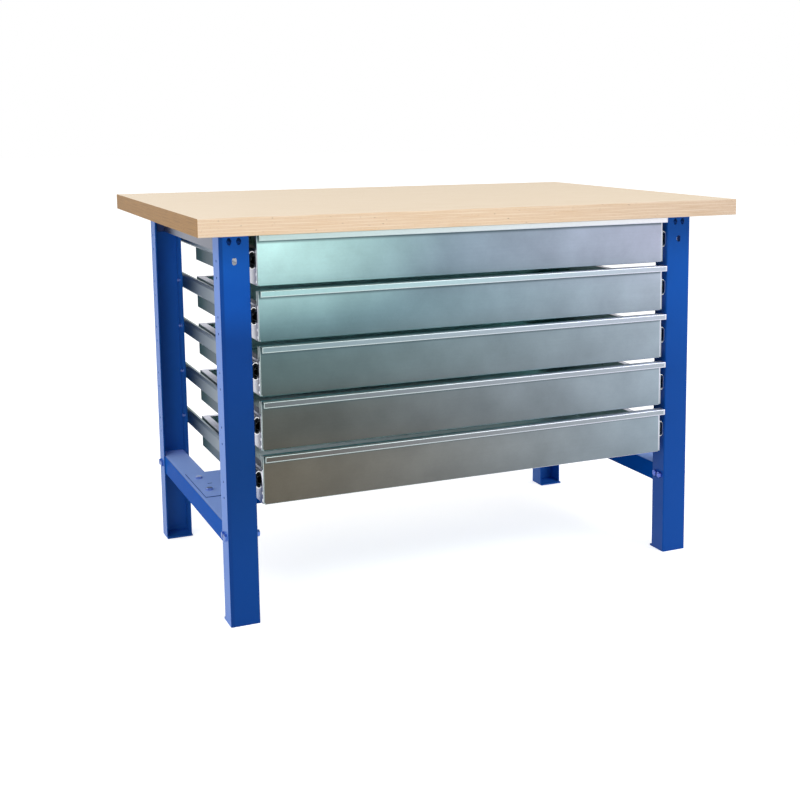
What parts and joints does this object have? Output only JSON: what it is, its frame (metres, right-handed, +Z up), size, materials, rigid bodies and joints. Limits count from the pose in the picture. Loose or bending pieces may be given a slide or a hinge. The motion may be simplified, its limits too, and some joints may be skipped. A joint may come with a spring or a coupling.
{
  "type": "drawer workbench",
  "caption": "Workbench with a plywood top on a bolted steel channel frame and a stack of full-width sheet-metal drawers on ball-bearing slides.",
  "frame": {"origin": "on the floor at the middle of the bench, under the centre of the worktop", "axes": "+Z up, +Y from the drawers' fronts to the back, +X along the bench to the right for someone at the drawers"},
  "size_m": [1.2, 0.85, 0.827],
  "materials": {
    "plywood": "lacquered birch plywood, satin",
    "blue_powder_coat": "fine satin powder coat",
    "rail_sheet": "hot-dip galvanised sheet",
    "drawer_front_sheet": "hot-dip galvanised sheet, fine spangle",
    "drawer_tray_sheet": "hot-dip galvanised sheet, fine spangle",
    "slide_steel": "bright zinc plating",
    "retainer_steel": "plain spring steel and polished balls",
    "plated_fasteners": "bright zinc plating",
    "black_screws": "black oxide"
  },
  "bodies": {
    "frame": {"worktop": "plywood", "leg_front_left": "blue_powder_coat", "leg_front_right": "blue_powder_coat", "leg_rear_left": "blue_powder_coat", "leg_rear_right": "blue_powder_coat", "foot_plates": "blue_powder_coat", "side_stretcher_left": "blue_powder_coat", "side_stretcher_right": "blue_powder_coat", "centre_stretcher": "blue_powder_coat", "top_rail_left": "rail_sheet", "top_rail_right": "rail_sheet", "worktop_screws": "plated_fasteners", "side_stretcher_bolts": "plated_fasteners", "side_stretcher_nuts": "plated_fasteners", "centre_stretcher_bolts": "plated_fasteners", "centre_stretcher_nuts": "plated_fasteners", "slide_screws": "plated_fasteners", "slide_nuts": "plated_fasteners", "top_rail_screws": "black_screws", "slide_outer_1": "slide_steel", "slide_outer_2": "slide_steel", "slide_outer_3": "slide_steel", "slide_outer_4": "slide_steel", "slide_outer_5": "slide_steel"},
    "drawer_1": {"drawer_tray_1": "drawer_tray_sheet", "drawer_front_1": "drawer_front_sheet", "slide_inner_1": "slide_steel", "drawer_rivets_1": "plated_fasteners"},
    "slide_middles_1": {"slide_middle_1": "slide_steel"},
    "outer_balls_1": {"slide_retainer_outer_1": "retainer_steel"},
    "inner_balls_1": {"slide_retainer_inner_1": "retainer_steel"},
    "drawer_2": {"drawer_tray_2": "drawer_tray_sheet", "drawer_front_2": "drawer_front_sheet", "slide_inner_2": "slide_steel", "drawer_rivets_2": "plated_fasteners"},
    "slide_middles_2": {"slide_middle_2": "slide_steel"},
    "outer_balls_2": {"slide_retainer_outer_2": "retainer_steel"},
    "inner_balls_2": {"slide_retainer_inner_2": "retainer_steel"},
    "drawer_3": {"drawer_tray_3": "drawer_tray_sheet", "drawer_front_3": "drawer_front_sheet", "slide_inner_3": "slide_steel", "drawer_rivets_3": "plated_fasteners"},
    "slide_middles_3": {"slide_middle_3": "slide_steel"},
    "outer_balls_3": {"slide_retainer_outer_3": "retainer_steel"},
    "inner_balls_3": {"slide_retainer_inner_3": "retainer_steel"},
    "drawer_4": {"drawer_tray_4": "drawer_tray_sheet", "drawer_front_4": "drawer_front_sheet", "slide_inner_4": "slide_steel", "drawer_rivets_4": "plated_fasteners"},
    "slide_middles_4": {"slide_middle_4": "slide_steel"},
    "outer_balls_4": {"slide_retainer_outer_4": "retainer_steel"},
    "inner_balls_4": {"slide_retainer_inner_4": "retainer_steel"},
    "drawer_5": {"drawer_tray_5": "drawer_tray_sheet", "drawer_front_5": "drawer_front_sheet", "slide_inner_5": "slide_steel", "drawer_rivets_5": "plated_fasteners"},
    "slide_middles_5": {"slide_middle_5": "slide_steel"},
    "outer_balls_5": {"slide_retainer_outer_5": "retainer_steel"},
    "inner_balls_5": {"slide_retainer_inner_5": "retainer_steel"}
  },
  "joints": [
    {"name": "drawer_1_slide", "type": "slide", "parent": "frame", "child": "drawer_1", "axis": [0, -1, 0], "range_m": [0, 0.49]},
    {"name": "slide_middles_1_slide", "type": "slide", "parent": "frame", "child": "slide_middles_1", "axis": [0, -1, 0], "range_m": [0, 0.245]},
    {"name": "outer_balls_1_slide", "type": "slide", "parent": "frame", "child": "outer_balls_1", "axis": [0, -1, 0], "range_m": [0, 0.1225]},
    {"name": "inner_balls_1_slide", "type": "slide", "parent": "frame", "child": "inner_balls_1", "axis": [0, -1, 0], "range_m": [0, 0.3675]},
    {"name": "drawer_2_slide", "type": "slide", "parent": "frame", "child": "drawer_2", "axis": [0, -1, 0], "range_m": [0, 0.49]},
    {"name": "slide_middles_2_slide", "type": "slide", "parent": "frame", "child": "slide_middles_2", "axis": [0, -1, 0], "range_m": [0, 0.245]},
    {"name": "outer_balls_2_slide", "type": "slide", "parent": "frame", "child": "outer_balls_2", "axis": [0, -1, 0], "range_m": [0, 0.1225]},
    {"name": "inner_balls_2_slide", "type": "slide", "parent": "frame", "child": "inner_balls_2", "axis": [0, -1, 0], "range_m": [0, 0.3675]},
    {"name": "drawer_3_slide", "type": "slide", "parent": "frame", "child": "drawer_3", "axis": [0, -1, 0], "range_m": [0, 0.49]},
    {"name": "slide_middles_3_slide", "type": "slide", "parent": "frame", "child": "slide_middles_3", "axis": [0, -1, 0], "range_m": [0, 0.245]},
    {"name": "outer_balls_3_slide", "type": "slide", "parent": "frame", "child": "outer_balls_3", "axis": [0, -1, 0], "range_m": [0, 0.1225]},
    {"name": "inner_balls_3_slide", "type": "slide", "parent": "frame", "child": "inner_balls_3", "axis": [0, -1, 0], "range_m": [0, 0.3675]},
    {"name": "drawer_4_slide", "type": "slide", "parent": "frame", "child": "drawer_4", "axis": [0, -1, 0], "range_m": [0, 0.49]},
    {"name": "slide_middles_4_slide", "type": "slide", "parent": "frame", "child": "slide_middles_4", "axis": [0, -1, 0], "range_m": [0, 0.245]},
    {"name": "outer_balls_4_slide", "type": "slide", "parent": "frame", "child": "outer_balls_4", "axis": [0, -1, 0], "range_m": [0, 0.1225]},
    {"name": "inner_balls_4_slide", "type": "slide", "parent": "frame", "child": "inner_balls_4", "axis": [0, -1, 0], "range_m": [0, 0.3675]},
    {"name": "drawer_5_slide", "type": "slide", "parent": "frame", "child": "drawer_5", "axis": [0, -1, 0], "range_m": [0, 0.49]},
    {"name": "slide_middles_5_slide", "type": "slide", "parent": "frame", "child": "slide_middles_5", "axis": [0, -1, 0], "range_m": [0, 0.245]},
    {"name": "outer_balls_5_slide", "type": "slide", "parent": "frame", "child": "outer_balls_5", "axis": [0, -1, 0], "range_m": [0, 0.1225]},
    {"name": "inner_balls_5_slide", "type": "slide", "parent": "frame", "child": "inner_balls_5", "axis": [0, -1, 0], "range_m": [0, 0.3675]}
  ],
  "couplings": [
    {"joint": "slide_middles_1_slide", "follows": "drawer_1_slide", "ratio": 0.5},
    {"joint": "outer_balls_1_slide", "follows": "drawer_1_slide", "ratio": 0.25},
    {"joint": "inner_balls_1_slide", "follows": "drawer_1_slide", "ratio": 0.75},
    {"joint": "slide_middles_2_slide", "follows": "drawer_2_slide", "ratio": 0.5},
    {"joint": "outer_balls_2_slide", "follows": "drawer_2_slide", "ratio": 0.25},
    {"joint": "inner_balls_2_slide", "follows": "drawer_2_slide", "ratio": 0.75},
    {"joint": "slide_middles_3_slide", "follows": "drawer_3_slide", "ratio": 0.5},
    {"joint": "outer_balls_3_slide", "follows": "drawer_3_slide", "ratio": 0.25},
    {"joint": "inner_balls_3_slide", "follows": "drawer_3_slide", "ratio": 0.75},
    {"joint": "slide_middles_4_slide", "follows": "drawer_4_slide", "ratio": 0.5},
    {"joint": "outer_balls_4_slide", "follows": "drawer_4_slide", "ratio": 0.25},
    {"joint": "inner_balls_4_slide", "follows": "drawer_4_slide", "ratio": 0.75},
    {"joint": "slide_middles_5_slide", "follows": "drawer_5_slide", "ratio": 0.5},
    {"joint": "outer_balls_5_slide", "follows": "drawer_5_slide", "ratio": 0.25},
    {"joint": "inner_balls_5_slide", "follows": "drawer_5_slide", "ratio": 0.75}
  ]
}
